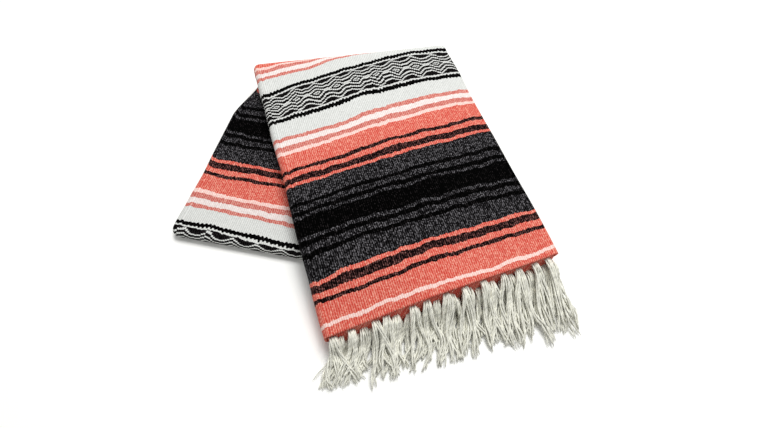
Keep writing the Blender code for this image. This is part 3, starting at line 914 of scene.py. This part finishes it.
def hidden_point(column, row, level):
    """Point of the skin of the hidden layers, with its station."""
    stretch, share = hidden_station(row)
    depth = level / HIDDEN_LEVELS
    across = hidden_across(column)
    station = stretch_station(across, stretch, share, depth)
    outer, inner = stack_faces(across, stretch, share)
    inward = (inner - outer).normalized()
    if stretch == "lower":
        spot = outer.lerp(inner - HIDDEN_INSET * inward, depth)
    else:
        spot = (outer + HIDDEN_INSET * inward).lerp(inner, depth)
    if row == HIDDEN_ROWS:
        covered = NOSE_BULGE - HIDDEN_INSET
        spot = spot + covered * math.sin(math.pi * max(depth, 0.25)) * raised(LOWER_TO_FRONT)
    if column == 0:
        covered = LEFT_BULGE - HIDDEN_INSET
        side = -sideways(LEFT_BULGE, stretch, share)
        return spot + covered * math.sin(math.pi * depth) * side, station
    if column == HIDDEN_CELLS:
        side = sideways(STRIP_WIDTH - RIGHT_BULGE, stretch, share)
        out = RIGHT_BULGE + layer_round(level, station, seed=2.0)
        if stretch != "lower" and depth < 0.5:
            out = (RIGHT_BULGE - HIDDEN_INSET) * math.sin(math.pi * min(2.0 * depth, 0.8))
        return spot + out * side, station
    if row == 0 and 0 < level < HIDDEN_LEVELS:
        forward = layer_round(level, across, seed=6.0) + LAYER_STEPS * depth
        return spot + forward * raised(TO_FRONT), station
    return spot, station


def lattice_sheet(bm, weave, first_cells, second_cells, place):
    """Lay one side of the hidden layers' skin as a grid."""
    woven = {}
    for vertex, first, second in grid_points(bm, first_cells, second_cells):
        column, row, level = place(first, second)
        across = hidden_across(column)
        vertex.co, station = hidden_point(column, row, level)
        woven[vertex] = (across + LEVEL_SHIFT * level, woven_station(across, station))
    write_places(weave, woven)


class BLANKET_OT_upper_cloth(bpy.types.Operator):
    """Lay the outer cloth of the upper run, round its edges and over the roll"""
    bl_idname = "blanket.upper_cloth"
    bl_label = "Upper cloth"

    def execute(self, context):
        columns = EDGE_CELLS + TOP_CELLS + RIGHT_EDGE_CELLS
        bm = cloth_grid(columns, UPPER_CELLS + ROLL_CELLS, upper_cloth_place)
        top_point = stack_faces(STRIP_WIDTH / 2.0, "upper", 0.5)[0]
        cloth_piece("upper_cloth", bm, top_point, "upper_stretch")
        return {"FINISHED"}


class BLANKET_OT_lower_cloth(bpy.types.Operator):
    """Lay the outer cloth of the lower run, with its left edge and front fold"""
    bl_idname = "blanket.lower_cloth"
    bl_label = "Lower cloth"

    def execute(self, context):
        bm = cloth_grid(EDGE_CELLS + TOP_CELLS, LOWER_CELLS + EDGE_CELLS, lower_cloth_place)
        top_point = stack_faces(STRIP_WIDTH / 2.0, "lower", 0.5)[1]
        cloth_piece("lower_cloth", bm, top_point, "lower_stretch")
        return {"FINISHED"}


class BLANKET_OT_layered_folds(bpy.types.Operator):
    """Build the hidden layers, whose rounded folds and cut ends show at the edges"""
    bl_idname = "blanket.layered_folds"
    bl_label = "Layered folds"

    def execute(self, context):
        bm = bmesh.new()
        weave = bm.loops.layers.uv.new("weave")
        for level in (0, HIDDEN_LEVELS):
            lattice_sheet(bm, weave, HIDDEN_CELLS, HIDDEN_ROWS,
                          lambda column, row: (column, row, level))
        for row in (0, HIDDEN_ROWS):
            lattice_sheet(bm, weave, HIDDEN_CELLS, HIDDEN_LEVELS,
                          lambda column, step: (column, row, step))
        for column in (0, HIDDEN_CELLS):
            lattice_sheet(bm, weave, HIDDEN_ROWS, HIDDEN_LEVELS,
                          lambda row, step: (column, row, step))
        bmesh.ops.remove_doubles(bm, verts=bm.verts, dist=0.00001)
        bmesh.ops.recalc_face_normals(bm, faces=bm.faces)
        material = woven_cotton("layered_woven_cotton")
        finish_piece(bm, "layered_folds", material, ["inner_layers"])
        return {"FINISHED"}


def lay_yarn(bm, layer, centre_at, radius_at, length):
    """One yarn: a tube round a path, closed to a point at its tip."""
    places = {}
    for vertex, side_number, step in grid_points(bm, YARN_SIDES, YARN_STEPS):
        turn = side_number / YARN_SIDES
        share = step / YARN_STEPS
        places[vertex] = (turn, share * length)
        centre = centre_at(share)
        ahead = centre_at(min(share + 0.02, 1.0)) - centre_at(max(share - 0.02, 0.0))
        forward = ahead.normalized()
        side = forward.cross(Vector((0.0, 0.0, 1.0))).normalized()
        up = side.cross(forward)
        angle = FULL_TURN * turn
        vertex.co = centre + radius_at(share) * (math.cos(angle) * side + math.sin(angle) * up)
    write_places(layer, places)


def lay_lock(bm, layer, root, reach, spread, rest, yarns, chance, sizes):
    """A lock of yarns twisted together, which waves, falls to the floor and frays at its tip."""
    # Lengths are in metres, turns and waves in radians, and the rest are shares of the length
    touch_down = chance.uniform(0.42, 0.66)
    wave_height = chance.uniform(0.0015, 0.0075)
    wave_place = chance.uniform(0.0, FULL_TURN)
    waves = chance.uniform(4.0, 8.0)
    arch = chance.uniform(0.0010, 0.0050)
    twist = chance.choice((-1.0, 1.0)) * chance.uniform(3.5, 8.0)
    start_turn = chance.uniform(0.0, FULL_TURN)
    loose_from = chance.uniform(0.68, 0.88)
    lock_radius = LOCK_RADIUS
    thickness = sizes.yarn_radius
    if yarns == 1:
        lock_radius = 0.0
        thickness *= STRAY_THICKNESS
        arch = chance.uniform(0.003, 0.008)
    for index in range(yarns):
        yarn_turn = start_turn + FULL_TURN * index / yarns
        length = reach * chance.uniform(0.92, 1.0)
        fray = chance.uniform(-0.0040, 0.0040)
        own_wave = chance.uniform(0.0003, 0.0014)
        own_place = chance.uniform(0.0, FULL_TURN)
        own_waves = chance.uniform(7.0, 15.0)
        radius = thickness * chance.uniform(0.88, 1.12)

        def centre_at(share):
            """Middle of the yarn: the lock spreads and waves more and more, and opens at its tip."""
            loose = smooth((share - loose_from) / (1.0 - loose_from))
            turn = yarn_turn + twist * share
            aside = spread * share ** 1.3 + loose * fray
            aside += wave_height * share ** 0.7 * math.sin(waves * share + wave_place)
            aside -= wave_height * (1.0 - share) * math.sin(wave_place) * share ** 0.7
            aside += lock_radius * (1.0 + 0.3 * loose) * math.cos(turn)
            aside += own_wave * share * math.sin(own_waves * share + own_place)
            fall = smooth(share / touch_down)
            height = root.z + (rest * (1.0 - share * share) + FALLEN_HEIGHT - root.z) * fall
            height += lock_radius * (1.0 - 0.4 * loose) * (math.sin(turn) + fall)
            height += arch * math.sin(math.pi * min(share / ARCH_LENGTH, 1.0))
            height += own_wave * share * (1.0 + math.cos(own_waves * share + own_place))
            point = root + share * length * raised(TO_FRONT) + aside * raised(TO_RIGHT)
            point.z = max(height, LOWEST_YARN)
            return point

        def radius_at(share):
            """Radius of the yarn: full after its root, and tapering to nothing at its tip."""
            if share >= 1.0:
                return 0.0
            return radius * (0.8 + 0.2 * smooth(share / 0.15)) * (1.0 - 0.45 * share ** 4)

        lay_yarn(bm, layer, centre_at, radius_at, length)


def lay_bundle(bm, layer, root, reach, lean, rest, chance, sizes):
    """A bundle of the fringe: a few thick locks that part soon, and now and then a stray yarn."""
    locks = chance.choice((2, 3, 3))
    fan = chance.uniform(0.007, 0.017)
    for lock in range(locks):
        side = 2.0 * lock / (locks - 1) - 1.0
        spread = lean + side * fan + chance.uniform(-LOCK_LEAN, LOCK_LEAN)
        aside = side * LOCK_SPACING + chance.uniform(-LOCK_SHIFT, LOCK_SHIFT)
        lock_root = root + aside * raised(TO_RIGHT)
        lock_root.z += chance.uniform(-0.0010, 0.0008)
        own_reach = reach * chance.uniform(0.82, 1.0)
        own_rest = rest + chance.uniform(0.0, 0.0020)
        lay_lock(bm, layer, lock_root, own_reach, spread, own_rest, sizes.yarns_per_lock,
                 chance, sizes)
    for _ in range(chance.choice((0, 1, 1, 2))):
        stray = lean + chance.uniform(-STRAY_LEAN, STRAY_LEAN)
        lay_lock(bm, layer, root, STRAY_REACH * reach, stray, rest + STRAY_REST, 1, chance, sizes)


class BLANKET_OT_fringe(bpy.types.Operator):
    """Hang the four rows of fringe from the cut edge of the upper run"""
    bl_idname = "blanket.fringe"
    bl_label = "Fringe"

    def execute(self, context):
        sizes = context.scene.blanket_sizes
        yarn_material = undyed_yarn("undyed_cotton_yarn")
        chance = random.Random(11)
        for node, depth, reach, rest, offset in FRINGE_ROWS:
            bm = bmesh.new()
            layer = bm.loops.layers.uv.new("yarn")
            for bundle in range(sizes.bundles):
                place = bundle + offset + chance.uniform(-BUNDLE_SHIFT, BUNDLE_SHIFT)
                share = min(max(place / (sizes.bundles - 1), 0.0), 1.0)
                across = between(BUNDLE_MARGIN, STRIP_WIDTH - BUNDLE_MARGIN, share)
                forward = LAYER_STEPS * depth / UPPER_STACK - ROOT_COVER
                root = stack_faces(across, "upper", 1.0)[0] + forward * raised(TO_FRONT)
                root.z -= depth
                own_reach = reach * between(REACH_AT_LEFT, REACH_AT_RIGHT, share)
                own_reach *= chance.uniform(0.90, 1.04)
                lean = between(SPLAY_AT_LEFT, SPLAY_AT_RIGHT, share)
                lean += chance.uniform(-BUNDLE_LEAN, BUNDLE_LEAN)
                lay_bundle(bm, layer, root, own_reach, lean, rest, chance, sizes)
            bmesh.ops.remove_doubles(bm, verts=bm.verts, dist=0.000001)
            bmesh.ops.recalc_face_normals(bm, faces=bm.faces)
            finish_piece(bm, node.replace("row", "yarns"), yarn_material, [node])
        return {"FINISHED"}


class BLANKET_OT_declare_cloth(bpy.types.Operator):
    """Does nothing: no sheet of cloth is stated here"""
    bl_idname = "blanket.declare_cloth"
    bl_label = "Declare cloth"

    def execute(self, context):
        return {"FINISHED"}


def seamless_paper():
    """Matte white background paper, with a barely visible tooth."""
    material, tree, shader, add = new_material("seamless_paper")
    spot = add("TexCoord", output="Object")
    tooth = add("TexNoise", {"Vector": spot, "Scale": 900.0, "Detail": 2.0})
    bump = add("Bump", {"Strength": 0.05, "Distance": 0.0002, "Height": tooth})
    floor_colour = (*bpy.context.scene.blanket_colours.floor, 1.0)
    fill_inputs(tree, shader, {"Base Color": floor_colour, "Normal": bump, "Roughness": 0.9,
                               "Specular IOR Level": 0.1})
    return material


class BLANKET_OT_stage(bpy.types.Operator):
    """Set the pale floor, the soft light and the camera"""
    bl_idname = "blanket.stage"
    bl_label = "Stage"

    def execute(self, context):
        scene = context.scene
        colours = scene.blanket_colours

        bm = bmesh.new()
        bmesh.ops.create_grid(bm, x_segments=8, y_segments=8, size=FLOOR_SIZE)
        bmesh.ops.translate(bm, verts=bm.verts, vec=(0.0, 0.0, FLOOR_HEIGHT))
        floor = new_object(bm, "studio_floor", seamless_paper())

        world = bpy.data.worlds.new("studio_surround")
        world.use_nodes = True
        surround = world.node_tree.nodes["Background"]
        surround.inputs["Color"].default_value = (1.0, 1.0, 1.0, 1.0)
        surround.inputs["Strength"].default_value = colours.sky_light
        scene.world = world

        lamp = bpy.data.lights.new("overhead_softbox", "AREA")
        lamp.shape = "RECTANGLE"
        lamp.size, lamp.size_y = LAMP_SIZE
        lamp.energy = colours.key_light
        softbox = bpy.data.objects.new("overhead_softbox", lamp)
        softbox.location = LAMP_PLACE
        softbox.rotation_euler = (-LAMP_PLACE).to_track_quat("-Z", "Y").to_euler()
        scene.collection.objects.link(softbox)

        camera_data = bpy.data.cameras.new("camera")
        camera_data.sensor_width = SENSOR_WIDTH
        camera_data.lens = SENSOR_WIDTH * FOCAL_LENGTH / IMAGE_WIDTH
        camera_data.shift_y = CAMERA_SHIFT / IMAGE_WIDTH
        camera_data.clip_start = 0.01
        camera = bpy.data.objects.new("camera", camera_data)
        camera.location = (0.0, -CAMERA_DISTANCE * math.cos(CAMERA_ELEVATION),
                           CAMERA_DISTANCE * math.sin(CAMERA_ELEVATION))
        camera.rotation_euler = (math.radians(90.0) - CAMERA_ELEVATION, 0.0, 0.0)
        scene.collection.objects.link(camera)
        scene.camera = camera
        scene.view_settings.view_transform = "Standard"
        return {"FINISHED"}


class BLANKET_PT_panel(bpy.types.Panel):
    """Sidebar panel with the blanket's sizes, colours and pieces"""
    bl_idname = "BLANKET_PT_panel"
    bl_label = "Folded blanket"
    bl_space_type = "VIEW_3D"
    bl_region_type = "UI"
    bl_category = "Blanket"

    def draw(self, context):
        scene = context.scene
        for group in (scene.blanket_sizes, scene.blanket_colours):
            for name in group.__annotations__:
                self.layout.prop(group, name)
        for operator in PIECE_OPERATORS:
            self.layout.operator(operator.bl_idname)


PIECE_OPERATORS = (
    BLANKET_OT_upper_cloth,
    BLANKET_OT_lower_cloth,
    BLANKET_OT_layered_folds,
    BLANKET_OT_fringe,
    BLANKET_OT_declare_cloth,
    BLANKET_OT_stage,
)
CLASSES = (BlanketSizes, BlanketColours, *PIECE_OPERATORS, BLANKET_PT_panel)


def register():
    """Register the classes and the blanket's settings."""
    for one_class in CLASSES:
        bpy.utils.register_class(one_class)
    bpy.types.Scene.blanket_sizes = PointerProperty(type=BlanketSizes)
    bpy.types.Scene.blanket_colours = PointerProperty(type=BlanketColours)


def unregister():
    """Take the settings and the classes away again."""
    del bpy.types.Scene.blanket_colours
    del bpy.types.Scene.blanket_sizes
    for one_class in reversed(CLASSES):
        bpy.utils.unregister_class(one_class)


def main():
    """Build every piece in order."""
    register()
    bpy.ops.blanket.upper_cloth()
    bpy.ops.blanket.lower_cloth()
    bpy.ops.blanket.layered_folds()
    bpy.ops.blanket.fringe()
    bpy.ops.blanket.declare_cloth()
    bpy.ops.blanket.stage()
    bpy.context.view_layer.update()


if __name__ == "__main__":
    main()
